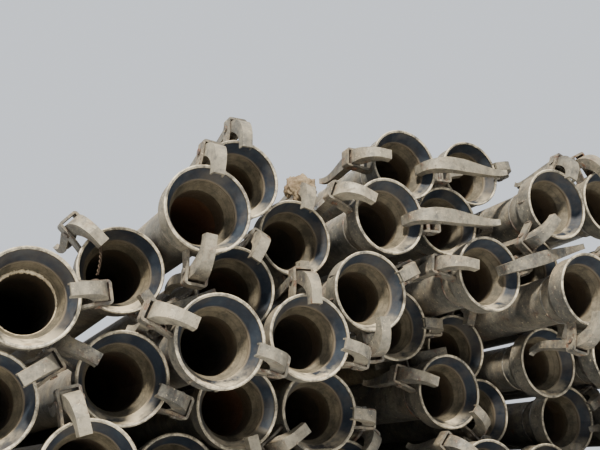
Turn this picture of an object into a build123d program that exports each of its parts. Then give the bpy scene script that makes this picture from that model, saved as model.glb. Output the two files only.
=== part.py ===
"""A heap of steel irrigation pipes with quick couplings, seen from their socket ends.

The pipes lie along +Y with their mouths towards -Y, +X is to the right and +Z is up.
The origin is on the ground, under the middle of the heap. All sizes are in millimetres.
"""
import math
import os

from build123d import *

# Pipe
TUBE_OD = 108.0
TUBE_WALL = 1.5
PIPE_LENGTH = 6000.0

# Socket cup, pressed from sheet and welded to the tube
RIM_DIAMETER = 165.0
RIM_LIP = 6.0
CUP_WALL = 2.0
CUP_STEP = 3.5
CUP_DEPTH = 46.0
SHOULDER_LENGTH = 34.0
THROAT_DEPTH = 22.0
SOCKET_LENGTH = 104.0

# Rubber ring inside the cup
SEAL_SETBACK = 5.0
SEAL_LENGTH = 30.0
SEAL_LIP_WIDTH = 14.0
SEAL_LIP_EDGE = 5.0
SEAT_GAP = 0.3

# Ball end with its collar, at the far end of each pipe
BALL_DIAMETER = 138.0
BALL_LENGTH = 84.0
COLLAR_WIDTH = 9.0
COLLAR_SLOPE = 16.0
COLLAR_FOOT = 6.0

# Stirrup of flat bar, one on each side of a socket
BAR_THICKNESS = 5.0
BAR_WIDTH = 24.0
STIRRUP_SETBACK = 18.0
STIRRUP_REACH = 56.0
STIRRUP_SPLAY = 4.0
STIRRUP_CORNER = 7.0

# Claw lever of pressed sheet, hinged in the stirrup
LEVER_WIDTH = 30.0
LEVER_TIP_WIDTH = 21.0
LEVER_TAIL_WIDTH = 13.0
LEVER_SHEET = 3.0
LEVER_REACH_BACK = 150.0
LEVER_REACH_FRONT = 34.0
CLAW_DROP = 58.0
LEVER_PLAY = 1.0
LEVER_DEPTH = 27.0
PIVOT_RISE = 32.0
CLAW_START = 5.0

# Pin through the stirrup and the lever
PIN_DIAMETER = 8.0
PIN_HEAD_DIAMETER = 13.0
PIN_HEAD_LENGTH = 3.0
PIN_PLAY = 0.3

# Heap
REST_GAP = 0.54
FRONT_MARGIN = 8.0
GROUND_ROW_PITCH = 1.18
LEVER_CLEARANCE = 1.2
CHECK_STEPS = 50
BALL_STEPS = 24
SPREAD_PASSES = 400
SPREAD_END = 0.01
FIRST_REACH = 3.0
REACH_MARGIN = 0.1
NEAR_SHARE = 0.025
FALL_STEPS = (6.0, 2.0, 0.5, 0.1, 0.02)
LEAST_FALL = 0.0004
FALL_LIMIT = 400
PUSH_PASSES = 60
TOUCH = 0.001
GROUND_SETBACK = 60.0
TURN_STEP = 2
TURN_LIMIT = 90
LEVER_SPACING = 100.0
UPPER_ROWS = 7

# The photograph: its eye point, and where lines along the pipes run together
FOCUS = 880.0
PICTURE_COLUMN = 300.0
PICTURE_LINE = 225.0
FAR_COLUMN = -158.0
FAR_LINE = 465.0
EYE_HEIGHT = 262.0
EYE_ACROSS = -850.0
EYE_BEHIND = 1380.0


def seen(name, column, line, width, turn):
    """A mouth read from the photograph: its middle and width in picture points.

    turn is the angle of its first lever round the pipe, from +X towards +Z, in degrees.
    """
    return dict(name=name, column=column, line=line, width=width, turn=turn)


def hidden(name, across, up, back, turn):
    """A mouth outside the picture, placed by hand in the heap's own millimetres."""
    return dict(name=name, across=across, up=up, back=back, turn=turn)


PIPES = [
    seen("p01", column=22, line=313, width=106, turn=20),
    seen("p02", column=-17, line=395, width=108, turn=60),
    seen("p03", column=121, line=270, width=90, turn=137),
    seen("p04", column=208, line=209, width=93, turn=84),
    seen("p05", column=243, line=182, width=83, turn=90),
    seen("p06", column=98, line=454, width=104, turn=88),
    seen("p07", column=126, line=389, width=97, turn=160),
    seen("p08", column=182, line=470, width=90, turn=20),
    seen("p09", column=235, line=288, width=87, turn=12),
    seen("p10", column=210, line=346, width=99, turn=165),
    seen("p11", column=292, line=236, width=80, turn=72),
    seen("p12", column=232, line=415, width=88, turn=0),
    seen("p13", column=310, line=337, width=89, turn=92),
    seen("p14", column=318, line=411, width=84, turn=-5),
    seen("p15", column=343, line=480, width=80, turn=51),
    seen("p16", column=372, line=286, width=83, turn=192),
    seen("p17", column=395, line=324, width=74, turn=24),
    seen("p18", column=388, line=221, width=80, turn=183),
    seen("p19", column=407, line=168, width=74, turn=178),
    seen("p20", column=444, line=220, width=72, turn=0),
    seen("p21", column=472, line=178, width=67, turn=15),
    seen("p22", column=489, line=272, width=77, turn=180),
    seen("p23", column=469, line=341, width=68, turn=14),
    seen("p24", column=450, line=390, width=74, turn=130),
    seen("p25", column=480, line=408, width=68, turn=0),
    seen("p26", column=521, line=281, width=67, turn=60),
    seen("p27", column=559, line=206, width=73, turn=68),
    seen("p28", column=598, line=277, width=76, turn=77),
    seen("p29", column=545, line=359, width=70, turn=168),
    seen("p30", column=566, line=419, width=68, turn=0),
    seen("p31", column=603, line=215, width=70, turn=120),
    seen("p32", column=490, line=478, width=76, turn=126),
    hidden("p33", across=-760, up=225, back=60, turn=90),
    hidden("p34", across=600, up=228, back=240, turn=90),
    hidden("p35", across=790, up=228, back=120, turn=60),
    hidden("p36", across=965, up=228, back=200, turn=75),
    hidden("p37", across=875, up=370, back=90, turn=80),
    hidden("p38", across=790, up=515, back=180, turn=20),
    hidden("p39", across=845, up=675, back=60, turn=60),
    hidden("p40", across=970, up=520, back=210, turn=30),
    hidden("p41", across=1060, up=370, back=130, turn=100),
    hidden("p42", across=1150, up=228, back=70, turn=40),
]
GROUND_ROW = 12
GROUND_MIDDLE = 157.0
GROUND_STAGGER = 130.0

# Levers on the heap's crown that nothing jams
CROWN_LEVERS = {"p04": "crown_lever_1", "p05": "crown_lever_2", "p27": "crown_lever_3"}

# Levers that have left their pins and hang with the claw round the rim, by pipe, with their angle
SWUNG_LEVERS = {"p18": 2.0, "p19": 0.0, "p22": 18.0}
SWUNG_AHEAD = 29.0
SWUNG_INWARD = 5.4

RIM_R = RIM_DIAMETER / 2
CUP_R = RIM_R - CUP_STEP
TUBE_R = TUBE_OD / 2
BORE_R = TUBE_R - TUBE_WALL
BALL_R = BALL_DIAMETER / 2
SEAL_LIP_R = CUP_R - CUP_WALL - SEAL_LIP_WIDTH
COLLAR_FOOT_R = TUBE_R + COLLAR_FOOT
PIVOT_R = RIM_R + PIVOT_RISE
PIVOT_SETBACK = STIRRUP_SETBACK + BAR_WIDTH / 2
COLLAR_START = PIPE_LENGTH - BALL_LENGTH - COLLAR_WIDTH
COLLAR_END = COLLAR_START + COLLAR_WIDTH
BALL_START = COLLAR_END + COLLAR_WIDTH / 2
BALL_RISE = BALL_R - TUBE_R
BALL_ARC_R = ((PIPE_LENGTH - BALL_START) ** 2 / 4 + BALL_RISE**2) / (2 * BALL_RISE)

# Outside of a pipe as distance behind its mouth against radius, up to where the ball begins
SOCKET_OUTSIDE = [
    (0.0, RIM_R - RIM_LIP * 0.35), (RIM_LIP * 0.3, RIM_R), (RIM_LIP, RIM_R), (RIM_LIP + CUP_STEP, CUP_R),
    (CUP_DEPTH, CUP_R), (CUP_DEPTH + SHOULDER_LENGTH, TUBE_R), (SOCKET_LENGTH, TUBE_R),
]
COLLAR_OUTSIDE = [
    (COLLAR_START - COLLAR_SLOPE, TUBE_R), (COLLAR_START - COLLAR_WIDTH / 2, COLLAR_FOOT_R),
    (COLLAR_START, RIM_R), (COLLAR_END, RIM_R), (BALL_START, TUBE_R),
]


# Places behind the mouth where the outside sticks out most
CONTACT_PLACES = [along for along, _ in SOCKET_OUTSIDE + COLLAR_OUTSIDE]
CONTACT_PLACES += [CUP_DEPTH + SHOULDER_LENGTH / 2, COLLAR_START - COLLAR_WIDTH]
CONTACT_PLACES += [BALL_START + (PIPE_LENGTH - BALL_START) * step / BALL_STEPS for step in range(1, BALL_STEPS + 1)]


def outline_radius(along):
    """Outer radius of a pipe at a distance behind its mouth, or 0 beyond its ends."""
    if along < 0 or along > PIPE_LENGTH:
        return 0.0
    if along > BALL_START:
        from_top = along - (BALL_START + PIPE_LENGTH) / 2
        return BALL_R - BALL_ARC_R + math.sqrt(BALL_ARC_R**2 - from_top**2)
    outside = SOCKET_OUTSIDE + COLLAR_OUTSIDE
    for (start, start_r), (end, end_r) in zip(outside, outside[1:]):
        if start <= along <= end:
            return start_r + (end_r - start_r) * (along - start) / (end - start)
    return TUBE_R


def mouth_from_picture(pipe):
    """Where a photographed mouth lies in the heap: across, up, and back from the front."""
    pitch = math.atan2(FAR_LINE - PICTURE_LINE, FOCUS)
    yaw = math.atan2(PICTURE_COLUMN - FAR_COLUMN, math.hypot(FAR_LINE - PICTURE_LINE, FOCUS))
    depth = FOCUS * RIM_DIAMETER / pipe["width"]
    right = depth * (pipe["column"] - PICTURE_COLUMN) / FOCUS
    rise = depth * (PICTURE_LINE - pipe["line"]) / FOCUS
    ahead = depth * math.cos(pitch) - rise * math.sin(pitch)
    across = right * math.cos(yaw) + ahead * math.sin(yaw)
    back = ahead * math.cos(yaw) - right * math.sin(yaw)
    up = depth * math.sin(pitch) + rise * math.cos(pitch)
    return across + EYE_ACROSS, up + EYE_HEIGHT, back - EYE_BEHIND


class Pipe:
    """One pipe of the heap: the middle of its mouth and of its far end."""

    def __init__(self, name, across, up, back, turn, grounded=False):
        self.name = name
        self.front = [across, up]
        self.rear = [across, up]
        self.wanted = (across, up)
        self.back = back
        self.turn = turn
        self.grounded = grounded
        self.reach = 0.0 if grounded else FIRST_REACH
        self.stretch = 1.0

    def plane_of(self, along):
        """Distance behind the heap's front of the place a length along the pipe."""
        return self.back + along / self.stretch

    def middle_at(self, y):
        """Middle of the pipe, across and up, at a distance y behind the heap's front."""
        share = (y - self.back) / PIPE_LENGTH
        return [f + share * (r - f) for f, r in zip(self.front, self.rear)]

    def radius_at(self, y):
        """Largest outer radius about a distance y behind the heap's front, however the pipe is tilted."""
        along = (y - self.back) * self.stretch
        return max(outline_radius(along + shift) for shift in (-self.reach, 0.0, self.reach))


def pipe_planes(first, second):
    """Distances behind the front at which two pipes may come near each other."""
    planes = []
    for pipe in (first, second):
        for along in CONTACT_PLACES:
            planes.append(pipe.plane_of(along))
    start = max(first.back - first.reach, second.back - second.reach)
    end = min(first.plane_of(PIPE_LENGTH) + first.reach, second.plane_of(PIPE_LENGTH) + second.reach)
    planes += [start, end]
    planes += [start + (end - start) * step / CHECK_STEPS for step in range(1, CHECK_STEPS)]
    return [y for y in planes if start <= y <= end]


def required(first, second, y):
    """Least distance between two pipes' middles at y."""
    return first.radius_at(y) + second.radius_at(y) + REST_GAP


def spread_fronts(pipes):
    """Push the mouths apart, from their photographed places, until none overlap."""
    for _ in range(SPREAD_PASSES):
        worst = 0.0
        for index, first in enumerate(pipes):
            for second in pipes[index + 1:]:
                y = max(first.back, second.back)
                dx = second.front[0] - first.front[0]
                dz = second.front[1] - first.front[1]
                apart = math.hypot(dx, dz)
                lack = required(first, second, y) + FRONT_MARGIN - apart
                if lack <= 0:
                    continue
                worst = max(worst, lack)
                share = 0.0 if first.grounded else 1.0 if second.grounded else 0.5
                for pipe, part in ((first, -share), (second, 1 - share)):
                    pipe.front[0] += part * lack * dx / apart
                    pipe.front[1] += part * lack * dz / apart
        if worst < SPREAD_END:
            return


def rear_limits(pipe, others):
    """Circles round which the far end of a pipe has to pass: across, up, radius, owner."""
    limits = []
    for other in others:
        for y in pipe_planes(pipe, other):
            share = (y - pipe.back) / PIPE_LENGTH
            if share < NEAR_SHARE:
                continue
            middle = other.middle_at(y)
            across = (middle[0] - (1 - share) * pipe.front[0]) / share
            up = (middle[1] - (1 - share) * pipe.front[1]) / share
            limits.append((across, up, required(pipe, other, y) / share, other.name))
    return limits


def pushed_clear(place, limits):
    """A place pushed out of every circle that it lies in."""
    for _ in range(PUSH_PASSES):
        clear = True
        for across, up, radius, _ in limits:
            dx, dz = place[0] - across, place[1] - up
            apart = math.hypot(dx, dz)
            if apart < radius - TOUCH:
                clear = False
                place = [across + dx * radius / apart, up + dz * radius / apart]
        if clear:
            return place
    return None


def drop_rear(pipe, others):
    """Let the far end of a pipe fall and roll into a valley, then once more with its tilt known."""
    for _ in range(2):
        limits = rear_limits(pipe, others)
        place = pushed_clear(list(pipe.front), limits)
        for step in FALL_STEPS:
            for _ in range(FALL_LIMIT):
                lower = pushed_clear([place[0], place[1] - step], limits)
                if lower is None or lower[1] > place[1] - step * LEAST_FALL:
                    break
                place = lower
        pipe.rear = place
        tilt = math.hypot(place[0] - pipe.front[0], place[1] - pipe.front[1]) / PIPE_LENGTH
        pipe.reach = CUP_R * tilt + REACH_MARGIN
        pipe.stretch = math.hypot(1.0, tilt)


def heap_layout():
    """All pipes of the heap, lying on each other and clear of each other."""
    pipes = []
    pitch = RIM_DIAMETER * GROUND_ROW_PITCH
    for place in range(GROUND_ROW):
        across = GROUND_MIDDLE + (place - (GROUND_ROW - 1) / 2) * pitch
        back = GROUND_STAGGER * ((place * 3) % 4) / 4 + GROUND_SETBACK
        pipes.append(Pipe("g%02d" % (place + 1), across, RIM_R, back, 0.0, grounded=True))
    for entry in PIPES:
        if "width" in entry:
            across, up, back = mouth_from_picture(entry)
        else:
            across, up, back = entry["across"], entry["up"], entry["back"]
        pipes.append(Pipe(entry["name"], across, up, back, entry["turn"]))
    spread_fronts(pipes)
    settled = [pipe for pipe in pipes if pipe.grounded]
    for pipe in sorted((p for p in pipes if not p.grounded), key=lambda p: p.front[1]):
        drop_rear(pipe, settled)
        settled.append(pipe)
    return settled


# Levers round the sockets
def lever_boxes(swung):
    """Boxes that a stirrup with its lever fills: half width, inner and outer radius, start, end."""
    bar = STIRRUP_REACH + RIM_R
    stirrup_box = (LEVER_WIDTH / 2 + LEVER_PLAY + BAR_THICKNESS + SEAT_GAP + PIN_HEAD_LENGTH, CUP_R, bar,
                   STIRRUP_SETBACK, STIRRUP_SETBACK + BAR_WIDTH)
    if swung:
        swung_r = PIVOT_R - SWUNG_INWARD
        return [stirrup_box, (LEVER_WIDTH / 2, swung_r - LEVER_DEPTH, swung_r + LEVER_REACH_BACK,
                              -SWUNG_AHEAD - LEVER_DEPTH / 2, -SWUNG_AHEAD + LEVER_DEPTH / 2)]
    return [
        stirrup_box,
        (LEVER_WIDTH / 2, PIVOT_R - LEVER_DEPTH / 2, PIVOT_R + LEVER_DEPTH / 2,
         -LEVER_REACH_FRONT, PIVOT_SETBACK + LEVER_REACH_BACK),
        (LEVER_WIDTH / 2, PIVOT_R - CLAW_DROP, PIVOT_R, -LEVER_REACH_FRONT, -CLAW_START),
    ]


def box_corners(middle, turn, half_width, inner, outer):
    """Corners, across and up, of a box that stands out from a pipe at an angle."""
    out = (math.cos(math.radians(turn)), math.sin(math.radians(turn)))
    side = (-out[1], out[0])
    return [
        (middle[0] + radius * out[0] + half * side[0], middle[1] + radius * out[1] + half * side[1])
        for radius, half in ((inner, -half_width), (outer, -half_width), (outer, half_width), (inner, half_width))
    ]


def circle_box_gap(middle, radius, origin, turn, half_width, inner, outer):
    """Gap between a circle and a box that stands out from origin at an angle."""
    dx, dz = middle[0] - origin[0], middle[1] - origin[1]
    cosine, sine = math.cos(math.radians(turn)), math.sin(math.radians(turn))
    along, aside = dx * cosine + dz * sine, abs(-dx * sine + dz * cosine)
    beyond = max(inner - along, 0.0, along - outer)
    return math.hypot(beyond, max(aside - half_width, 0.0)) - radius


def boxes_meet(first, second):
    """Whether two boxes, given by their corners, come nearer than the lever clearance."""
    for corners in (first, second):
        for index in (0, 1):
            dx = corners[index + 1][0] - corners[index][0]
            dz = corners[index + 1][1] - corners[index][1]
            size = math.hypot(dx, dz)
            spans = [[(x * dx + z * dz) / size for x, z in shape] for shape in (first, second)]
            if max(spans[0]) + LEVER_CLEARANCE < min(spans[1]) or max(spans[1]) + LEVER_CLEARANCE < min(spans[0]):
                return False
    return True


def lever_fits(pipe, turn, swung, pipes, placed):
    """Whether a stirrup and its lever, at this angle, are clear of the other pipes and levers."""
    for half_width, inner, outer, start, end in lever_boxes(swung):
        for other in pipes:
            if other is pipe:
                continue
            places = [pipe.back + start, pipe.back + end] + [other.back + along for along in CONTACT_PLACES]
            for y in places:
                if not pipe.back + start <= y <= pipe.back + end or other.radius_at(y) == 0:
                    continue
                gap = circle_box_gap(
                    other.middle_at(y), other.radius_at(y), pipe.middle_at(y), turn, half_width, inner, outer)
                if gap < LEVER_CLEARANCE:
                    return False
        if pipe.front[1] + min(c[1] for c in box_corners((0, 0), turn, half_width, inner, outer)) < LEVER_CLEARANCE:
            return False
        corners = box_corners(pipe.middle_at(pipe.back + start), turn, half_width, inner, outer)
        for other_corners, other_start, other_end in placed:
            if other_start - LEVER_CLEARANCE < pipe.back + end and pipe.back + start < other_end + LEVER_CLEARANCE:
                if boxes_meet(corners, other_corners):
                    return False
    return True


def lever_turns(pipes):
    """The angles, by pipe, at which stirrups with levers fit, as near the photograph's as they go."""
    placed = []
    turns = {}
    steps = [0.0] + [sign * step for step in range(TURN_STEP, TURN_LIMIT, TURN_STEP) for sign in (1, -1)]
    for pipe in sorted(pipes, key=lambda p: (p.name not in SWUNG_LEVERS, p.back)):
        turns[pipe.name] = []
        swung_turn = SWUNG_LEVERS.get(pipe.name)
        starts = [(pipe.turn, False), (pipe.turn + 180 if swung_turn is None else swung_turn, swung_turn is not None)]
        for first_turn, swung in reversed(starts):
            for step in steps:
                turn = first_turn + step
                if any(abs((turn - used + 180) % 360 - 180) < LEVER_SPACING for used, _ in turns[pipe.name]):
                    continue
                if lever_fits(pipe, turn, swung, pipes, placed):
                    turns[pipe.name].append((turn, swung))
                    for half_width, inner, outer, start, end in lever_boxes(swung):
                        corners = box_corners(pipe.middle_at(pipe.back + start), turn, half_width, inner, outer)
                        placed.append((corners, pipe.back + start, pipe.back + end))
                    break
    return turns


# Solids, each in its own frame: the pipe's axis is +Y and its mouth lies at Y = 0
def turned(points):
    """A solid turned round the pipe's axis from points given as radius, distance along."""
    return revolve(make_face(Polyline(*points, close=True)), Axis.Y, 360)


def tube():
    """The plain tube, from the socket's neck to the ball end."""
    start, end = SOCKET_LENGTH, COLLAR_START - COLLAR_SLOPE
    return turned([(BORE_R, start), (TUBE_R, start), (TUBE_R, end), (BORE_R, end)])


def socket_cup():
    """The socket: rolled rim, cup, shoulder and neck, of one pressed sheet."""
    seat_end = SEAL_SETBACK + SEAL_LENGTH + SEAT_GAP
    outside = [(radius, along) for along, radius in SOCKET_OUTSIDE]
    inside = [
        (BORE_R, SOCKET_LENGTH), (BORE_R, seat_end + THROAT_DEPTH), (SEAL_LIP_R, seat_end),
        (CUP_R - CUP_WALL, seat_end), (CUP_R - CUP_WALL, RIM_LIP * 0.3),
    ]
    return turned(outside + inside)


def seal_ring():
    """The rubber ring that lies in the cup, with its sloping lip."""
    outer = CUP_R - CUP_WALL - SEAT_GAP
    end = SEAL_SETBACK + SEAL_LENGTH
    return turned([
        (outer, SEAL_SETBACK), (outer, end), (SEAL_LIP_R, end), (SEAL_LIP_R, end - SEAL_LIP_EDGE),
    ])


def ball_end():
    """The male end: collar for the claws, and the ball that enters the next socket."""
    outside = [(radius, along) for along, radius in COLLAR_OUTSIDE]
    start = outside[0][1]
    ball_top = (BALL_R, (BALL_START + PIPE_LENGTH) / 2)
    nose_edge = (TUBE_R, PIPE_LENGTH)
    edges = Polyline(*outside)
    edges += ThreePointArc(outside[-1], ball_top, nose_edge)
    edges += Polyline(nose_edge, (BORE_R, PIPE_LENGTH), (BORE_R, start), outside[0])
    return revolve(make_face(edges), Axis.Y, 360)


# Lever and stirrup: +Z points away from the pipe's axis
def stirrup():
    """Flat bar bent to a loop, standing on the cup with both its feet."""
    inner = LEVER_WIDTH / 2 + LEVER_PLAY
    outer = inner + BAR_THICKNESS
    top = RIM_R + STIRRUP_REACH
    foot = CUP_R * 0.9
    loop = Polyline(
        (-outer - STIRRUP_SPLAY, foot), (-outer, PIVOT_R - PIN_DIAMETER), (-outer, top),
        (outer, top), (outer, PIVOT_R - PIN_DIAMETER), (outer + STIRRUP_SPLAY, foot), close=True)
    gap = Polyline(
        (-inner - STIRRUP_SPLAY, foot), (-inner, PIVOT_R - PIN_DIAMETER), (-inner, top - BAR_THICKNESS),
        (inner, top - BAR_THICKNESS), (inner, PIVOT_R - PIN_DIAMETER), (inner + STIRRUP_SPLAY, foot), close=True)
    plane = Plane(origin=(0, STIRRUP_SETBACK, 0), x_dir=(1, 0, 0), z_dir=(0, -1, 0))
    bent = extrude(plane * (make_face(loop) - make_face(gap)), -BAR_WIDTH)
    corners = bent.edges().filter_by(Axis.Y).group_by(Axis.Z)[-1]
    bent = fillet(corners, STIRRUP_CORNER)
    socket_space = Rot(-90, 0, 0) * Cylinder(CUP_R + SEAT_GAP, 4 * BAR_WIDTH)
    pin_hole = Pos(0, PIVOT_SETBACK, PIVOT_R) * Rot(0, 90, 0) * Cylinder(PIN_DIAMETER / 2 + PIN_PLAY, 4 * outer)
    return bent - socket_space - pin_hole


def lever_side(inset):
    """Side outline of the lever, distance along the pipe against radius, drawn in by inset."""
    back = PIVOT_SETBACK + LEVER_REACH_BACK
    half = LEVER_DEPTH / 2 - inset
    tail = LEVER_DEPTH / 4 - inset
    tip = -LEVER_REACH_FRONT
    top = Spline(
        (back, PIVOT_R + tail), (PIVOT_SETBACK, PIVOT_R + half),
        (tip * 0.55, PIVOT_R - inset), (tip + inset, PIVOT_R - CLAW_DROP * 0.5), (tip + inset * 2, PIVOT_R - CLAW_DROP))
    bottom = Spline(
        (tip + LEVER_DEPTH * 0.62, PIVOT_R - CLAW_DROP), (tip + LEVER_DEPTH * 0.85, PIVOT_R - CLAW_DROP * 0.5),
        (PIVOT_SETBACK * 0.3, PIVOT_R - LEVER_DEPTH * 0.5), (back * 0.5, PIVOT_R - LEVER_DEPTH * 0.45),
        (back, PIVOT_R - LEVER_DEPTH * 0.25))
    return make_face(top + Line(top @ 1, bottom @ 0) + bottom + Line(bottom @ 1, top @ 0))


def lever_plan(inset):
    """Outline of the lever seen from outside the pipe, width against distance along."""
    back = PIVOT_SETBACK + LEVER_REACH_BACK
    halves = [
        (LEVER_TAIL_WIDTH / 2, back), (LEVER_WIDTH / 2, PIVOT_SETBACK + BAR_WIDTH),
        (LEVER_WIDTH / 2, PIVOT_SETBACK - BAR_WIDTH), (LEVER_TIP_WIDTH / 2, -LEVER_REACH_FRONT),
    ]
    right = [(half - inset, along) for half, along in halves]
    left = [(inset - half, along) for half, along in reversed(halves)]
    return make_face(Polyline(*right, *left, close=True))


def lever_form(inset):
    """The lever's outer form, or with an inset its inner one."""
    side_plane = Plane(origin=(0, 0, 0), x_dir=(0, 1, 0), z_dir=(1, 0, 0))
    side = extrude(side_plane * lever_side(inset), LEVER_WIDTH, both=True)
    plan = extrude(lever_plan(inset), PIVOT_R * 2)
    return side & plan


def lever():
    """The claw lever: sheet folded to a hollow claw, open at its tip, with a long tail."""
    pin_hole = Pos(0, PIVOT_SETBACK, PIVOT_R) * Rot(0, 90, 0) * Cylinder(PIN_DIAMETER / 2 + PIN_PLAY, LEVER_WIDTH * 2)
    return lever_form(0.0) - lever_form(LEVER_SHEET) - pin_hole


def lever_pin():
    """The pin that carries the lever in its stirrup, with a head at each end."""
    reach = LEVER_WIDTH / 2 + LEVER_PLAY + BAR_THICKNESS + SEAT_GAP
    half = [
        (0, -reach - PIN_HEAD_LENGTH), (PIN_HEAD_DIAMETER / 2, -reach - PIN_HEAD_LENGTH),
        (PIN_HEAD_DIAMETER / 2, -reach), (PIN_DIAMETER / 2, -reach),
    ]
    other = [(radius, -along) for radius, along in reversed(half)]
    return Pos(0, PIVOT_SETBACK, PIVOT_R) * Rot(0, 0, 90) * turned(half + other)


def swung_lever(shape):
    """A lever off its pin, its tail pointing away from the pipe and its claw round the rim."""
    to_pivot = Pos(0, -PIVOT_SETBACK, -PIVOT_R)
    return Pos(0, -SWUNG_AHEAD, PIVOT_R - SWUNG_INWARD) * Rot(90, 0, 0) * to_pivot * shape


def pipe_frame(pipe):
    """The place of a pipe's own frame in the heap."""
    run = Vector(pipe.rear[0] - pipe.front[0], PIPE_LENGTH, pipe.rear[1] - pipe.front[1]).normalized()
    side = run.cross(Vector(0, 0, 1)).normalized()
    return Plane(origin=(pipe.front[0], pipe.back, pipe.front[1]), x_dir=side, z_dir=side.cross(run)).location


def rows_of(pipes):
    """Row of each pipe: 1 for the ground row, then rows of even number in order of height."""
    upper = sorted((pipe for pipe in pipes if not pipe.grounded), key=lambda pipe: pipe.wanted[1])
    rows = {pipe.name: 1 for pipe in pipes if pipe.grounded}
    for rank, pipe in enumerate(upper):
        rows[pipe.name] = 2 + rank * UPPER_ROWS // len(upper)
    return rows


def build():
    """Write every node of the heap to its own STEP file."""
    pipes = heap_layout()
    turns = lever_turns(pipes)
    shapes = {"tubes": tube(), "sockets": socket_cup(), "seal_rings": seal_ring(), "ball_ends": ball_end()}
    fittings = {"stirrups": stirrup(), "levers": lever(), "lever_pins": lever_pin()}
    rows = rows_of(pipes)
    nodes = {}
    for pipe in pipes:
        place = pipe_frame(pipe)
        row = "_row_%d" % rows[pipe.name]
        for name, shape in shapes.items():
            nodes.setdefault(name + row, []).append(place * shape)
        for turn, swung in turns[pipe.name]:
            for name, shape in fittings.items():
                node = name + row
                if name == "levers" and pipe.name in CROWN_LEVERS and abs(turn - pipe.turn) < TURN_LIMIT:
                    node = CROWN_LEVERS[pipe.name]
                if name == "levers" and swung:
                    shape = swung_lever(shape)
                nodes.setdefault(node, []).append(place * Rot(0, 90 - turn, 0) * shape)
    boxes = [solid.bounding_box() for solids in nodes.values() for solid in solids]
    across = (min(box.min.X for box in boxes) + max(box.max.X for box in boxes)) / 2
    along = (min(box.min.Y for box in boxes) + max(box.max.Y for box in boxes)) / 2
    os.makedirs("parts", exist_ok=True)
    for name, solids in nodes.items():
        export_step(Compound(children=[Pos(-across, -along, 0) * solid for solid in solids]), "parts/%s.step" % name)


build()
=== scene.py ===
"""Looks of a heap of galvanised irrigation pipes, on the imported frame, seen as in the photograph."""
import math
import random

import bmesh
import bpy
import numpy as np
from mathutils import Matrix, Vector, noise


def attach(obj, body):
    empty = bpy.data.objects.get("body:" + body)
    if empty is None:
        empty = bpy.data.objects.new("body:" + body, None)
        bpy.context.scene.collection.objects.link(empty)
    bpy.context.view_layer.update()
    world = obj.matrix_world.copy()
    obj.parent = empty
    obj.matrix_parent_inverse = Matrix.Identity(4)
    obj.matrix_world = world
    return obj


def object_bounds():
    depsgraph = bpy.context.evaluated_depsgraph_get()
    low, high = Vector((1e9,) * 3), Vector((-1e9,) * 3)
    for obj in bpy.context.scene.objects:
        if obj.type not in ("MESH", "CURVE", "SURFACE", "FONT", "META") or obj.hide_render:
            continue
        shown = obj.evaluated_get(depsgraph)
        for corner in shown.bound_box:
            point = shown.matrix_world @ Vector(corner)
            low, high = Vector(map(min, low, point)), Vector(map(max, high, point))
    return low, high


# Eye point of the photograph, in metres and degrees: left of the heap's middle,
# ahead of its foremost claw and above the ground
EYE_LEFT = 1.007
EYE_AHEAD = 1.340
EYE_HEIGHT = 0.262
EYE_YAW = 26.66
EYE_PITCH = 15.26

# Lens and sensor in millimetres, and the photograph's size in pixels
LENS = 52.8
SENSOR = 36.0
PICTURE_WIDTH = 600
PICTURE_HEIGHT = 450

# Mouths of the photograph that carry a crust, mud and a wire, by column and line
CRUSTED_MOUTH = (22, 313)
MUDDY_MOUTH = (290, 236)
WIRED_MOUTH = (122, 270)

# Sizes of the pipe that the looks follow, in metres
SOCKET_LENGTH = 0.104
CUP_RADIUS = 0.079
CUP_WALL = 0.002
TUBE_RADIUS = 0.054
BORE_RADIUS = 0.0525
COLLAR_PLACE = 5.891
SEAL_START = 0.005
SEAL_SLOPE_END = 0.030
SEAL_LIP_RADIUS = 0.0627
THROAT_END = 0.0573
STIRRUP_SETBACK = 0.018
BAR_WIDTH = 0.024
STIRRUP_FOOT = 0.0245

# How pieces are told apart: digits at which places are the same, length of tube whose middle is taken,
# how far ahead of its mouth and behind it a pipe carries a piece, and the cost of lying further ahead
PLACE_DIGITS = 5
TUBE_END = 0.02
CLAW_REACH = 0.1
PIN_DEPTH = 0.2
AHEAD_COST = 10

# Step of tone from one pipe to the next, so that neighbours differ
TONE_STEP = 0.618034

# Where masks fade from none to full, in metres: by radius, or by distance behind the mouth
CUP_INSIDE = (0.0772, 0.0768)
CUP_DEPTH = (0.0380, 0.0375)
FUNNEL_INSIDE = (0.0640, 0.0636)
FUNNEL_DEPTH = (0.0640, 0.0635)
NECK_INSIDE = (0.0532, 0.0529)
TUBE_INSIDE = (0.0534, 0.0530)
SEAL_LIP = (0.0650, 0.0632)
BEHIND_RIM = (0.0030, 0.0045)
RIM_EDGE = (0.0038, 0.0014)
GROOVE_FRONT = (0.0440, 0.0455)
GROOVE_BACK = (0.0475, 0.0465)
BORE_SHADE = (0.056, 0.075)
CLAW_TIP = (-0.010, -0.030)

# Weld beads, in metres, with ripple, roughness, wander and height as shares of the bead's size
BEAD_STEPS = 72
BEAD_CORNERS = 6
BEAD_RIPPLES = 24
BEAD_RIPPLE = 0.22
BEAD_ROUGHNESS = 0.12
BEAD_WANDER = 0.4
BEAD_HEIGHT = 0.8
NECK_BEAD = 0.0026
NECK_BEAD_LIFT = 0.0008
NECK_BEAD_SETBACK = 0.001
FAR_BEAD = 0.0022
FAR_BEAD_LIFT = 0.0006
FAR_BEAD_SETBACK = 0.016
FOOT_BEAD = 0.0030
FOOT_BEAD_STEPS = 14
FOOT_BEAD_CORNERS = 7

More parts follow.
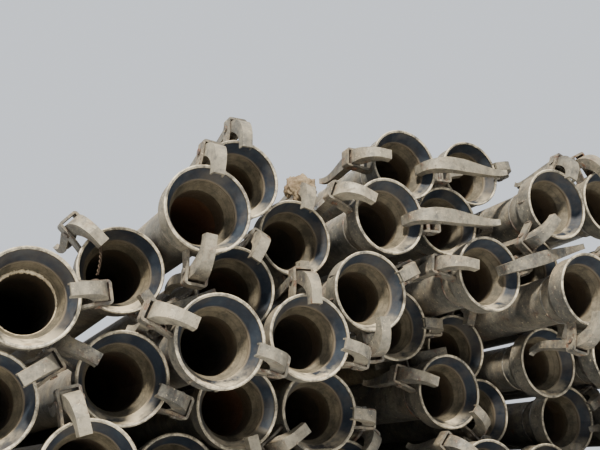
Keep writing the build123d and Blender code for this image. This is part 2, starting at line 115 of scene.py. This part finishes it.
# Dust bed of a mouth: half spread and lean in degrees, depth and reach in metres
DUST_SPREAD = (16, 34)
DUST_LEAN = 16
DUST_DEPTH = (0.0010, 0.0026)
DUST_START = 0.0022
DUST_REACH = 0.005
DUST_REACH_MIDDLE = 0.009
DUST_ABOVE_SEAT = 0.0001
DUST_BELOW_SEAT = 0.0004
DUST_STEPS = 26
DUST_ACROSS = 8

# Crust of a throat, in metres
CRUST_STEPS = 150
CRUST_CORNERS = 6
CRUST_THIN = 0.0012
CRUST_SWELL = 0.0022
CRUST_SETBACK = 0.001
CRUST_LIFT = 0.0006

# Mud cake: its middle behind the mouth and above the cup, and half its size across, along and out
MUD_ALONG = 0.028
MUD_OUT = 0.042
MUD_ACROSS_SIZE = 0.034
MUD_ALONG_SIZE = 0.026
MUD_OUT_SIZE = 0.033

# Binding wire, in metres: where it hangs, its drop, sway, twist and thickness
WIRE_AHEAD = 0.026
WIRE_IN = 0.010
WIRE_DROP = 0.066
WIRE_SWAY = 0.005
WIRE_BACK = 0.006
WIRE_TWISTS = 4
WIRE_TWIST_RADIUS = 0.0017
WIRE_RADIUS = 0.0012
WIRE_STEPS = 60
WIRE_CORNERS = 8

# Lights: place from the mouths or from the ground, size in metres and power in watts
MOUTHS_HEIGHT = 0.55
KEY_OFFSET = (-2.6, -2.6, 4.6)
KEY_SIZE = 0.5
KEY_POWER = 1500.0
KEY_COLOUR = (1.0, 0.92, 0.78)
REAR_PLACE = (2.5, 5.5, 4.5)
REAR_TARGET = (0.0, 2.0, 0.5)
REAR_SIZE = 2.0
REAR_POWER = 350.0
REAR_COLOUR = (1.0, 0.97, 0.92)

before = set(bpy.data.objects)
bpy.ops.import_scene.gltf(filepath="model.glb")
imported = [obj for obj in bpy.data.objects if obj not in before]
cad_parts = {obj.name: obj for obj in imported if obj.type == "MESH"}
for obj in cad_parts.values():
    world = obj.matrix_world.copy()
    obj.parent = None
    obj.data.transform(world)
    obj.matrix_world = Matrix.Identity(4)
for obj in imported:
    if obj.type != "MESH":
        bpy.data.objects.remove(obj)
at_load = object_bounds()
draw = random.Random(7)


def vertex_places(mesh):
    """Vertex coordinates as an array."""
    places = np.empty(len(mesh.vertices) * 3)
    mesh.vertices.foreach_get("co", places)
    return places.reshape(-1, 3)


def loose_labels(mesh, places):
    """Loose part of each vertex, with doubled vertices of split normals taken as one."""
    _, same = np.unique(np.round(places, PLACE_DIGITS), axis=0, return_inverse=True)
    same = same.reshape(-1)
    parent = np.arange(same.max() + 1)

    def root(index):
        while parent[index] != index:
            parent[index] = parent[parent[index]]
            index = parent[index]
        return index

    for edge in mesh.edges:
        a, b = root(same[edge.vertices[0]]), root(same[edge.vertices[1]])
        if a != b:
            parent[a] = b
    return np.array([root(index) for index in same])


def find_pipes():
    """Start and direction of each pipe's axis, from the ends of its tube."""
    pipes = []
    for name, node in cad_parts.items():
        if not name.startswith("tubes"):
            continue
        places = vertex_places(node.data)
        labels = loose_labels(node.data, places)
        for label in np.unique(labels):
            part = places[labels == label]
            near = part[part[:, 1] < part[:, 1].min() + TUBE_END]
            far = part[part[:, 1] > part[:, 1].max() - TUBE_END]
            start, end = near.mean(axis=0), far.mean(axis=0)
            run = (end - start) / np.linalg.norm(end - start)
            pipes.append((start - run * SOCKET_LENGTH, run))
    return pipes


def add_pipe_places(node, pipes):
    """Store on each vertex how far behind its pipe's mouth and from its axis it lies, and a tone."""
    mesh = node.data
    places = vertex_places(mesh)
    labels = loose_labels(mesh, places)
    starts = np.array([start for start, _ in pipes])
    runs = np.array([run for _, run in pipes])
    along = np.zeros(len(places))
    radial = np.zeros(len(places))
    tone = np.zeros(len(places))
    for label in np.unique(labels):
        chosen = labels == label
        middle = places[chosen].mean(axis=0)
        offset = middle - starts
        depths = (offset * runs).sum(axis=1)
        distance = np.linalg.norm(offset - depths[:, None] * runs, axis=1)
        distance += AHEAD_COST * np.maximum(0, -depths - CLAW_REACH)
        index = int(np.argmin(distance))
        offset = places[chosen] - starts[index]
        behind = offset @ runs[index]
        along[chosen] = behind
        radial[chosen] = np.linalg.norm(offset - behind[:, None] * runs[index], axis=1)
        tone[chosen] = (index * TONE_STEP) % 1.0
    for name, values in (("along", along), ("radial", radial), ("tone", tone)):
        attribute = mesh.attributes.new(name, "FLOAT", "POINT")
        attribute.data.foreach_set("value", values.astype(np.float32))


class Nodes:
    """A small helper that builds a material's node tree."""

    def __init__(self, name):
        self.material = bpy.data.materials.new(name)
        self.material.use_nodes = True
        self.tree = self.material.node_tree
        self.shader = self.tree.nodes["Principled BSDF"]

    def add(self, kind, **values):
        node = self.tree.nodes.new(kind)
        for key, value in values.items():
            setattr(node, key, value)
        return node

    def link(self, output, socket):
        self.tree.links.new(output, socket)

    def attribute(self, name):
        return self.add("ShaderNodeAttribute", attribute_name=name).outputs["Fac"]

    def noise(self, scale, detail=4.0, roughness=0.6, offset=0.0):
        """Noise in the object's own metres, shifted by an offset."""
        place = self.add("ShaderNodeTexCoord").outputs["Object"]
        shift = self.add("ShaderNodeVectorMath", operation="ADD")
        self.link(place, shift.inputs[0])
        shift.inputs[1].default_value = (offset, offset * 1.7, offset * 0.6)
        node = self.add("ShaderNodeTexNoise")
        node.inputs["Scale"].default_value = scale
        node.inputs["Detail"].default_value = detail
        node.inputs["Roughness"].default_value = roughness
        self.link(shift.outputs[0], node.inputs["Vector"])
        return node.outputs["Fac"]

    def span(self, value, low, high, to_low=0.0, to_high=1.0):
        """value mapped from one range to another, clamped."""
        node = self.add("ShaderNodeMapRange", clamp=True)
        self.link(value, node.inputs["Value"])
        for key, number in (("From Min", low), ("From Max", high), ("To Min", to_low), ("To Max", to_high)):
            node.inputs[key].default_value = number
        return node.outputs["Result"]

    def math(self, operation, first, second):
        node = self.add("ShaderNodeMath", operation=operation)
        for index, value in enumerate((first, second)):
            if isinstance(value, (int, float)):
                node.inputs[index].default_value = value
            else:
                self.link(value, node.inputs[index])
        return node.outputs[0]

    def mix(self, factor, first, second):
        """Colour mix; each colour is a tuple or an output."""
        node = self.add("ShaderNodeMix", data_type="RGBA")
        self.link(factor, node.inputs["Factor"])
        for key, value in (("A", first), ("B", second)):
            socket = [s for s in node.inputs if s.name == key and s.type == "RGBA"][0]
            if isinstance(value, tuple):
                socket.default_value = (*value, 1.0)
            else:
                self.link(value, socket)
        return [s for s in node.outputs if s.type == "RGBA"][0]

    def facing_up(self, low, high):
        """1 where the surface faces up, 0 where it doesn't."""
        geometry = self.add("ShaderNodeNewGeometry")
        split = self.add("ShaderNodeSeparateXYZ")
        self.link(geometry.outputs["Normal"], split.inputs[0])
        return self.span(split.outputs["Z"], low, high)

    def bump(self, height, strength, distance):
        node = self.add("ShaderNodeBump")
        node.inputs["Strength"].default_value = strength
        node.inputs["Distance"].default_value = distance
        self.link(height, node.inputs["Height"])
        self.link(node.outputs["Normal"], self.shader.inputs["Normal"])


# Colours, linear
ZINC = (0.112, 0.110, 0.096)
ZINC_DARK = (0.030, 0.032, 0.033)
ZINC_PALE = (0.215, 0.195, 0.148)
DUST = (0.175, 0.138, 0.086)
DUST_PALE = (0.420, 0.360, 0.250)
RUST = (0.105, 0.042, 0.017)
RUST_DARK = (0.028, 0.014, 0.008)
RUBBER = (0.006, 0.009, 0.016)
# Paler bluish rubber: painted sheen and wear
RUBBER_SHEEN_AND_WEAR = (0.016, 0.023, 0.033)
THROAT = (0.028, 0.024, 0.015)
THROAT_PALE = (0.100, 0.083, 0.054)
# Near-black colour inside the tubes: painted shade over rust
BORE = (0.010, 0.008, 0.005)
BORE_BROWN = (0.040, 0.027, 0.015)
RIM_WORN = (0.360, 0.320, 0.240)
MUD = (0.075, 0.048, 0.026)


def weathered(name, dust=0.5, rust=0.3, pale=0.5, metal=0.2, offset=0.0, grain=1.0):
    """Weathered galvanised steel: patchy zinc, lying dust, rust, grime, painted shade with grime in corners,
    pits and flecks.
    """
    m = Nodes(name)
    patches = m.span(m.noise(11.0 * grain, 7.0, 0.70, 1.0 + offset), 0.41, 0.59)
    colour = m.mix(patches, ZINC_DARK, ZINC)
    blotches = m.span(m.noise(6.0 * grain, 4.0, 0.6, 2.0 + offset), 0.38, 0.60)
    tone = m.math("MULTIPLY", m.attribute("tone"), blotches)
    colour = m.mix(m.span(tone, 0.0, 1.0, 0.0, pale), colour, ZINC_PALE)
    drifts = m.span(m.noise(18.0 * grain, 6.0, 0.7, 5.0), 0.36, 0.58)
    lying = m.math("MULTIPLY", m.facing_up(-0.35, 0.8), drifts)
    cloud = m.span(m.noise(7.0 * grain, 5.0, 0.7, 7.0 + offset), 0.44, 0.66, 0.0, dust * 0.7)
    dusty = m.math("ADD", m.math("MULTIPLY", lying, dust), cloud)
    colour = m.mix(m.span(dusty, 0.0, 1.0), colour, DUST)
    stain = m.span(m.noise(15.0 * grain, 8.0, 0.78, 11.0 + offset), 0.63 - 0.16 * rust, 0.70 - 0.13 * rust,
                   0.0, min(1.0, 0.45 + rust))
    shade = m.span(m.noise(70.0, 4.0, 0.7, 12.0), 0.4, 0.6)
    colour = m.mix(stain, colour, m.mix(shade, RUST_DARK, RUST))
    grime = m.span(m.noise(60.0, 7.0, 0.80, 3.0 + offset), 0.47, 0.62, 0.0, 0.75)
    colour = m.mix(grime, colour, ZINC_DARK)
    # Painted shade with grime: dark rust colour laid into corners, crevices and gaps between parts by
    # ambient occlusion
    shade_occlusion = m.add("ShaderNodeAmbientOcclusion", samples=4)
    shade_occlusion.inputs["Distance"].default_value = 0.020
    corner = m.span(shade_occlusion.outputs["AO"], 0.75, 0.25, 0.0, 0.8)
    colour = m.mix(corner, colour, RUST_DARK)
    pits = m.span(m.noise(210.0, 4.0, 0.8, 13.0), 0.60, 0.67, 0.0, 0.75)
    colour = m.mix(pits, colour, RUST_DARK)
    flecks = m.span(m.noise(150.0, 3.0, 0.8, 14.0), 0.62, 0.68, 0.0, 0.6)
    colour = m.mix(flecks, colour, DUST_PALE)
    m.link(colour, m.shader.inputs["Base Color"])
    m.link(m.span(dusty, 0.0, 1.0, 0.55, 0.92), m.shader.inputs["Roughness"])
    metallic = m.math("MULTIPLY", m.span(m.math("ADD", dusty, stain), 0.0, 0.8, 1.0, 0.0), metal)
    m.link(metallic, m.shader.inputs["Metallic"])
    height = m.math("ADD", m.noise(65.0, 6.0, 0.75, 17.0), m.math("MULTIPLY", stain, 0.5))
    height = m.math("SUBTRACT", height, m.math("MULTIPLY", pits, 0.6))
    m.bump(height, 0.5, 0.0022)
    return m


def recoloured(m, factor, colour):
    """Lay a colour over what a material has so far."""
    before = m.shader.inputs["Base Color"].links[0].from_socket
    m.link(m.mix(factor, before, colour), m.shader.inputs["Base Color"])


def rubber():
    """Sealing ring: dark rubber with patches of painted bluish sheen and wear, a chalky edge, and dust in
    its lower half.
    """
    m = Nodes("seal rubber")
    # Painted bluish sheen with wear: paler bluish patches in the rubber's colour
    colour = m.mix(m.span(m.noise(30.0, 6.0, 0.72, 2.0), 0.38, 0.66), RUBBER, RUBBER_SHEEN_AND_WEAR)
    film = m.span(m.noise(12.0, 5.0, 0.65, 3.0), 0.46, 0.72, 0.0, 0.22)
    colour = m.mix(film, colour, DUST)
    lip = m.span(m.attribute("radial"), *SEAL_LIP, 0.0, 0.45)
    colour = m.mix(lip, colour, DUST)
    drifts = m.span(m.noise(20.0, 5.0, 0.65, 4.0), 0.40, 0.58, 0.0, 0.85)
    lying = m.math("MULTIPLY", m.facing_up(0.45, 0.95), drifts)
    colour = m.mix(lying, colour, DUST_PALE)
    m.link(colour, m.shader.inputs["Base Color"])
    m.link(m.span(lying, 0.0, 1.0, 0.55, 0.95), m.shader.inputs["Roughness"])
    m.shader.inputs["Specular IOR Level"].default_value = 0.25
    m.bump(m.noise(90.0, 5.0, 0.72, 6.0), 0.25, 0.001)
    return m.material


def socket_steel():
    """The socket: worn pale rim, stained cup, tan throat with painted shade that darkens it towards the
    bore.
    """
    m = weathered("socket steel", dust=0.60, rust=0.30, pale=0.45)
    along, radial = m.attribute("along"), m.attribute("radial")
    cup = m.math("MULTIPLY", m.span(radial, *CUP_INSIDE), m.span(along, *CUP_DEPTH))
    funnel = m.math("MULTIPLY", m.span(radial, *FUNNEL_INSIDE), m.span(along, *FUNNEL_DEPTH))
    inside = m.math("MAXIMUM", m.math("MAXIMUM", cup, funnel), m.span(radial, *NECK_INSIDE))
    inside = m.math("MULTIPLY", inside, m.span(along, *BEHIND_RIM))
    throat = m.mix(m.span(m.noise(24.0, 7.0, 0.78, 21.0), 0.40, 0.62), THROAT, THROAT_PALE)
    recoloured(m, inside, throat)
    # Painted shade: the throat darkens to bore brown deeper behind the mouth
    painted_bore_shade = m.math("MULTIPLY", inside, m.span(along, *BORE_SHADE))
    recoloured(m, painted_bore_shade, BORE_BROWN)
    groove = m.math("MULTIPLY", m.span(along, *GROOVE_FRONT, 0.0, 0.45), m.span(along, *GROOVE_BACK))
    recoloured(m, m.math("MULTIPLY", inside, groove), THROAT)
    worn = m.span(m.noise(42.0, 6.0, 0.80, 23.0), 0.43, 0.58, 0.05, 1.0)
    rim = m.math("MULTIPLY", m.span(along, *RIM_EDGE), worn)
    recoloured(m, rim, RIM_WORN)
    return m.material


def tube_steel():
    """The tube: weathered outside, brown and dark inside, with rust and silt there and painted shade that
    darkens it towards black.
    """
    m = weathered("tube steel", dust=0.65, rust=0.40, pale=0.45, offset=40.0)
    inside = m.span(m.attribute("radial"), *TUBE_INSIDE)
    redder = m.span(m.attribute("tone"), 0.80, 0.90)
    # Painted shade with rust: the inside colour is rust brown darkened to near black
    dark_rust_and_shade = m.mix(m.span(m.noise(14.0, 6.0, 0.72, 31.0), 0.34, 0.66), BORE, BORE_BROWN)
    dark_rust_and_shade = m.mix(m.math("MULTIPLY", redder, 0.6), dark_rust_and_shade, RUST)
    recoloured(m, inside, dark_rust_and_shade)
    return m.material


def lever_steel(name, dust, rust, pale):
    """Lever sheet, its claw worn pale towards the tip, and dark inside where painted shade with grime fills
    its crevices.
    """
    m = weathered(name, dust=dust, rust=rust, pale=pale, metal=0.25, offset=80.0, grain=2.6)
    worn = m.span(m.noise(45.0, 5.0, 0.72, 25.0), 0.38, 0.60, 0.0, 0.55)
    tip = m.math("MULTIPLY", m.span(m.attribute("along"), *CLAW_TIP), worn)
    recoloured(m, tip, ZINC_PALE)
    return m.material


def loose_matter(name, first, second, scale, height):
    """Dry dust, mud or rust: two colours, rough and grainy."""
    m = Nodes(name)
    colour = m.mix(m.span(m.noise(scale, 7.0, 0.75, 2.0), 0.35, 0.65), first, second)
    m.link(colour, m.shader.inputs["Base Color"])
    m.shader.inputs["Roughness"].default_value = 0.95
    m.bump(m.noise(scale * 5, 6.0, 0.8, 4.0), 0.6, height)
    return m.material


MATERIALS = {
    "tubes": tube_steel(),
    "sockets": socket_steel(),
    "seal_rings": rubber(),
    "ball_ends": weathered("ball end steel", dust=0.5, rust=0.35, pale=0.35, offset=20.0).material,
    "stirrups": weathered("stirrup steel", dust=0.75, rust=0.65, pale=0.5, offset=60.0, grain=2.6).material,
    "levers": lever_steel("lever steel", 0.55, 0.45, 0.7),
    "crown_lever": lever_steel("crown lever steel", 0.35, 0.05, 0.5),
    "lever_pins": weathered("pin steel", dust=0.4, rust=0.95, pale=0.1).material,
    "welds": weathered("weld metal", dust=0.5, rust=0.75, pale=0.2, offset=30.0).material,
    "dust": loose_matter("dry dust", DUST, DUST_PALE, 45.0, 0.0010),
    "mud": loose_matter("baked mud", MUD, DUST, 38.0, 0.0030),
    "wire": loose_matter("rusty wire", RUST_DARK, BORE_BROWN, 90.0, 0.0006),
}


def paint_nodes(pipes):
    """Give every CAD node its places along the pipes and its material."""
    for name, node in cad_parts.items():
        add_pipe_places(node, pipes)
        kind = next(key for key in MATERIALS if name.startswith(key))
        node.data.materials.clear()
        node.data.materials.append(MATERIALS[kind])


def add_floor():
    """A plain pale floor under the heap."""
    bpy.ops.mesh.primitive_plane_add(size=60.0, location=(0, 0, 0))
    floor = bpy.context.object
    floor.name = "floor"
    m = Nodes("floor")
    m.shader.inputs["Base Color"].default_value = (0.80, 0.80, 0.79, 1)
    m.shader.inputs["Roughness"].default_value = 0.9
    floor.data.materials.append(m.material)


def add_area_light(name, place, target, size, power, colour):
    """A soft square light that looks at a point."""
    light = bpy.data.lights.new(name, "AREA")
    light.size = size
    light.energy = power
    light.color = colour
    lamp = bpy.data.objects.new(name, light)
    lamp.location = place
    lamp.rotation_euler = (Vector(target) - Vector(place)).to_track_quat("-Z", "Y").to_euler()
    bpy.context.collection.objects.link(lamp)


def add_light():
    """Soft studio light, with a warmer key from the upper front left."""
    world = bpy.data.worlds.new("studio")
    bpy.context.scene.world = world
    world.use_nodes = True
    background = world.node_tree.nodes["Background"]
    background.inputs["Color"].default_value = (0.88, 0.93, 1.0, 1)
    background.inputs["Strength"].default_value = 1.0
    mouths = Vector((0.0, at_load[0][1], MOUTHS_HEIGHT))
    add_area_light("key", mouths + Vector(KEY_OFFSET), mouths, KEY_SIZE, KEY_POWER, KEY_COLOUR)
    add_area_light("rear", Vector(REAR_PLACE), Vector(REAR_TARGET), REAR_SIZE, REAR_POWER, REAR_COLOUR)


def eye_place():
    """Place of the photograph's eye."""
    return Vector((-EYE_LEFT, at_load[0][1] - EYE_AHEAD, EYE_HEIGHT))


def add_camera():
    """The camera at the photograph's eye point."""
    data = bpy.data.cameras.new("camera")
    data.lens = LENS
    data.sensor_width = SENSOR
    data.clip_start = 0.05
    camera = bpy.data.objects.new("camera", data)
    camera.location = eye_place()
    camera.rotation_euler = (math.radians(90 + EYE_PITCH), 0, -math.radians(EYE_YAW))
    bpy.context.collection.objects.link(camera)
    bpy.context.scene.camera = camera


def cross_frame(run):
    """Two directions across a pipe: to its right and up."""
    side = np.cross(run, (0, 0, 1))
    side /= np.linalg.norm(side)
    return side, np.cross(side, run)


def in_picture(place):
    """Column and line at which a place shows in the photograph."""
    offset = Vector(place) - eye_place()
    yaw, pitch = math.radians(EYE_YAW), math.radians(EYE_PITCH)
    right = offset.x * math.cos(yaw) - offset.y * math.sin(yaw)
    ahead = offset.x * math.sin(yaw) + offset.y * math.cos(yaw)
    depth = ahead * math.cos(pitch) + offset.z * math.sin(pitch)
    rise = offset.z * math.cos(pitch) - ahead * math.sin(pitch)
    scale = LENS / SENSOR * PICTURE_WIDTH / depth
    return PICTURE_WIDTH / 2 + right * scale, PICTURE_HEIGHT / 2 - rise * scale


def pipe_seen_at(column, line):
    """The pipe whose mouth shows nearest to a place in the photograph."""
    return min(PIPES, key=lambda pipe: math.dist(in_picture(pipe[0]), (column, line)))


def find_pins(pipes):
    """For each lever pin: its pipe, and the direction from the pipe's axis out to it."""
    pins = []
    for name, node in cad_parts.items():
        if not name.startswith("lever_pins"):
            continue
        places = vertex_places(node.data)
        labels = loose_labels(node.data, places)
        for label in np.unique(labels):
            middle = places[labels == label].mean(axis=0)
            best = None
            for start, run in pipes:
                behind = (middle - start) @ run
                out = middle - start - behind * run
                distance = np.linalg.norm(out)
                if -CLAW_REACH < behind < PIN_DEPTH and (best is None or distance < best[0]):
                    best = (distance, start, run, out / distance)
            pins.append(best[1:])
    return pins


class Sweeps:
    """One piece made of many swept rings of points."""

    def __init__(self):
        self.places = []
        self.faces = []

    def add(self, rings, closed=False):
        """Join rings of points one to the next; a sweep that isn't closed gets a cap at each end."""
        first = len(self.places)
        count = len(rings[0])
        for ring in rings:
            self.places.extend(tuple(place) for place in ring)
        spans = len(rings) if closed else len(rings) - 1
        for row in range(spans):
            here, there = first + row * count, first + (row + 1) % len(rings) * count
            for index in range(count):
                after = (index + 1) % count
                self.faces.append((here + index, here + after, there + after, there + index))
        if not closed:
            self.faces.append(tuple(range(first + count - 1, first - 1, -1)))
            last = first + (len(rings) - 1) * count
            self.faces.append(tuple(range(last, last + count)))

    def piece(self, name, material, body="heap"):
        mesh = bpy.data.meshes.new(name)
        mesh.from_pydata(self.places, [], self.faces)
        mesh.validate()
        build = bmesh.new()
        build.from_mesh(mesh)
        bmesh.ops.recalc_face_normals(build, faces=build.faces)
        build.to_mesh(mesh)
        build.free()
        for polygon in mesh.polygons:
            polygon.use_smooth = True
        mesh.materials.append(material)
        made = bpy.data.objects.new(name, mesh)
        bpy.context.collection.objects.link(made)
        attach(made, body)
        return made


def place_on(pipe, along, angle, radius):
    """A place on a pipe: along its axis, at an angle from its right side, at a radius."""
    start, run = pipe
    side, lift = cross_frame(run)
    return start + run * along + radius * (math.cos(angle) * side + math.sin(angle) * lift)


def bead_ring(pipe, along, radius, size):
    """Rings of a weld bead that runs round a pipe, rippled and a little uneven."""
    rings = []
    phase = draw.uniform(0, math.tau)
    for step in range(BEAD_STEPS):
        angle = math.tau * step / BEAD_STEPS
        ripple = BEAD_RIPPLE * math.sin(angle * BEAD_RIPPLES + phase)
        swell = 1 + ripple + draw.uniform(-BEAD_ROUGHNESS, BEAD_ROUGHNESS)
        wander = BEAD_WANDER * size * math.sin(3 * angle + phase)
        ring = []
        for corner in range(BEAD_CORNERS):
            turn = math.tau * corner / BEAD_CORNERS
            ring.append(place_on(pipe, along + wander + size * swell * math.cos(turn), angle,
                                 radius + size * BEAD_HEIGHT * swell * math.sin(turn)))
        rings.append(ring)
    return rings


def add_welds():
    """Weld beads where the tube enters the socket's neck, and on the tube just ahead of the far collar."""
    beads = Sweeps()
    for pipe in PIPES:
        neck, far = SOCKET_LENGTH - NECK_BEAD_SETBACK, COLLAR_PLACE - FAR_BEAD_SETBACK
        beads.add(bead_ring(pipe, neck, TUBE_RADIUS + NECK_BEAD_LIFT, NECK_BEAD), closed=True)
        beads.add(bead_ring(pipe, far, TUBE_RADIUS + FAR_BEAD_LIFT, FAR_BEAD), closed=True)
    beads.piece("neck_welds", MATERIALS["welds"])


def add_stirrup_welds():
    """A weld bead along each foot of each stirrup."""
    beads = Sweeps()
    for start, run, out in PINS:
        across = np.cross(run, out)
        for hand in (-1, 1):
            foot = hand * STIRRUP_FOOT
            height = math.sqrt(CUP_RADIUS**2 - foot**2)
            rings = []
            for step in range(FOOT_BEAD_STEPS + 1):
                share = step / FOOT_BEAD_STEPS
                size = FOOT_BEAD * math.sin(math.pi * (0.1 + 0.8 * share)) * draw.uniform(0.8, 1.2)
                middle = start + run * (STIRRUP_SETBACK + BAR_WIDTH * share) + across * foot + out * height
                ring = []
                for corner in range(FOOT_BEAD_CORNERS):
                    turn = math.tau * corner / FOOT_BEAD_CORNERS
                    ring.append(middle + across * size * math.cos(turn) + out * size * math.sin(turn))
                rings.append(ring)
            beads.add(rings)
    beads.piece("stirrup_welds", MATERIALS["welds"])


def seat_radius(along):
    """Radius of the cup's wall, or of the rubber ring's slope, at a distance behind the mouth."""
    share = (along - SEAL_START) / (SEAL_SLOPE_END - SEAL_START)
    wall = CUP_RADIUS - CUP_WALL
    return wall - max(0.0, share) * (wall - SEAL_LIP_RADIUS)


def add_dust():
    """A bed of dry dust at the bottom of each mouth, in the angle between rim and rubber."""
    beds = Sweeps()
    for pipe in PIPES:
        spread = math.radians(draw.uniform(*DUST_SPREAD))
        lean = math.radians(draw.uniform(-DUST_LEAN, DUST_LEAN))
        depth = draw.uniform(*DUST_DEPTH)
        rings = []
        for step in range(DUST_STEPS + 1):
            share = 2 * step / DUST_STEPS - 1
            angle = -math.pi / 2 + lean + spread * share
            crown = 1 - share**2
            reach = (DUST_REACH + DUST_REACH_MIDDLE * crown) * draw.uniform(0.85, 1.1)
            top, below = [], []
            for index in range(DUST_ACROSS + 1):
                along = DUST_START + reach * index / DUST_ACROSS
                swell = math.sin(math.pi * index / DUST_ACROSS)
                height = depth * crown * swell * draw.uniform(0.75, 1.15)
                base = seat_radius(along)
                top.append(place_on(pipe, along, angle, base + DUST_ABOVE_SEAT - height))
                below.append(place_on(pipe, along, angle, base + DUST_BELOW_SEAT))
            rings.append(top + below[::-1])
        beds.add(rings)
    beds.piece("dust_beds", MATERIALS["dust"])


def add_crust():
    """A ragged crust of scale round the throat of the pipe at the photograph's left edge."""
    pipe = pipe_seen_at(*CRUSTED_MOUTH)
    crust = Sweeps()
    rings = []
    for step in range(CRUST_STEPS):
        angle = math.tau * step / CRUST_STEPS
        thick = CRUST_THIN + CRUST_SWELL * (0.5 + 0.5 * math.sin(angle - 0.6)) * draw.uniform(0.3, 1.7)
        reach = thick * draw.uniform(1.2, 2.4)
        ring = []
        for corner in range(CRUST_CORNERS):
            turn = math.tau * corner / CRUST_CORNERS
            ring.append(place_on(pipe, THROAT_END - CRUST_SETBACK + reach * math.cos(turn), angle,
                                 BORE_RADIUS + CRUST_LIFT + thick * math.sin(turn)))
        rings.append(ring)
    crust.add(rings, closed=True)
    crust.piece("throat_crust", MATERIALS["dust"])


def add_mud():
    """A cake of dry mud baked on one stirrup."""
    start, run = pipe_seen_at(*MUDDY_MOUTH)
    own = [pin for pin in PINS if np.allclose(pin[0], start)]
    _, _, out = max(own, key=lambda pin: pin[2][2])
    build = bmesh.new()
    bmesh.ops.create_icosphere(build, subdivisions=5, radius=1.0)
    middle = start + run * MUD_ALONG + out * (CUP_RADIUS + MUD_OUT)
    side = np.cross(run, out)
    for vertex in build.verts:
        place = vertex.co
        lump = noise.fractal(place * 2.1, 0.8, 2.1, 6) * 0.24 + noise.noise(place * 11.0) * 0.07
        grown = np.array(place) * (1 + lump)
        spot = (middle + side * grown[0] * MUD_ACROSS_SIZE + run * grown[1] * MUD_ALONG_SIZE
                + out * grown[2] * MUD_OUT_SIZE)
        vertex.co = Vector(spot)
    mesh = bpy.data.meshes.new("mud_cake")
    build.to_mesh(mesh)
    build.free()
    for polygon in mesh.polygons:
        polygon.use_smooth = True
    mesh.materials.append(MATERIALS["mud"])
    cake = bpy.data.objects.new("mud_cake", mesh)
    bpy.context.collection.objects.link(cake)
    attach(cake, "heap")


def add_wire():
    """A twisted pair of binding wires that hangs from the claw of one lever."""
    start, run = pipe_seen_at(*WIRED_MOUTH)
    own = [pin for pin in PINS if np.allclose(pin[0], start)]
    side, _ = cross_frame(run)
    _, _, out = min(own, key=lambda pin: pin[2] @ side)
    top = start - run * WIRE_AHEAD + out * (CUP_RADIUS - WIRE_IN)
    wires = Sweeps()
    for strand in range(2):
        rings = []
        for step in range(WIRE_STEPS + 1):
            share = step / WIRE_STEPS
            turn = math.tau * (share * WIRE_TWISTS + strand / 2)
            bend = WIRE_SWAY * math.sin(share * math.pi * 0.9)
            centre = top + np.array((0.0, 0.0, -WIRE_DROP * share)) + side * bend + run * (WIRE_BACK * share)
            centre = (centre + side * WIRE_TWIST_RADIUS * math.cos(turn)
                      + run * WIRE_TWIST_RADIUS * math.sin(turn))
            ring = []
            for corner in range(WIRE_CORNERS):
                around = math.tau * corner / WIRE_CORNERS
                ring.append(centre + side * WIRE_RADIUS * math.cos(around)
                            + run * WIRE_RADIUS * math.sin(around))
            rings.append(ring)
        wires.add(rings)
    wires.piece("binding_wire", MATERIALS["wire"])


PIPES = find_pipes()
PINS = find_pins(PIPES)
paint_nodes(PIPES)
add_welds()
add_stirrup_welds()
add_dust()
add_crust()
add_mud()
add_wire()
add_floor()
add_light()
add_camera()
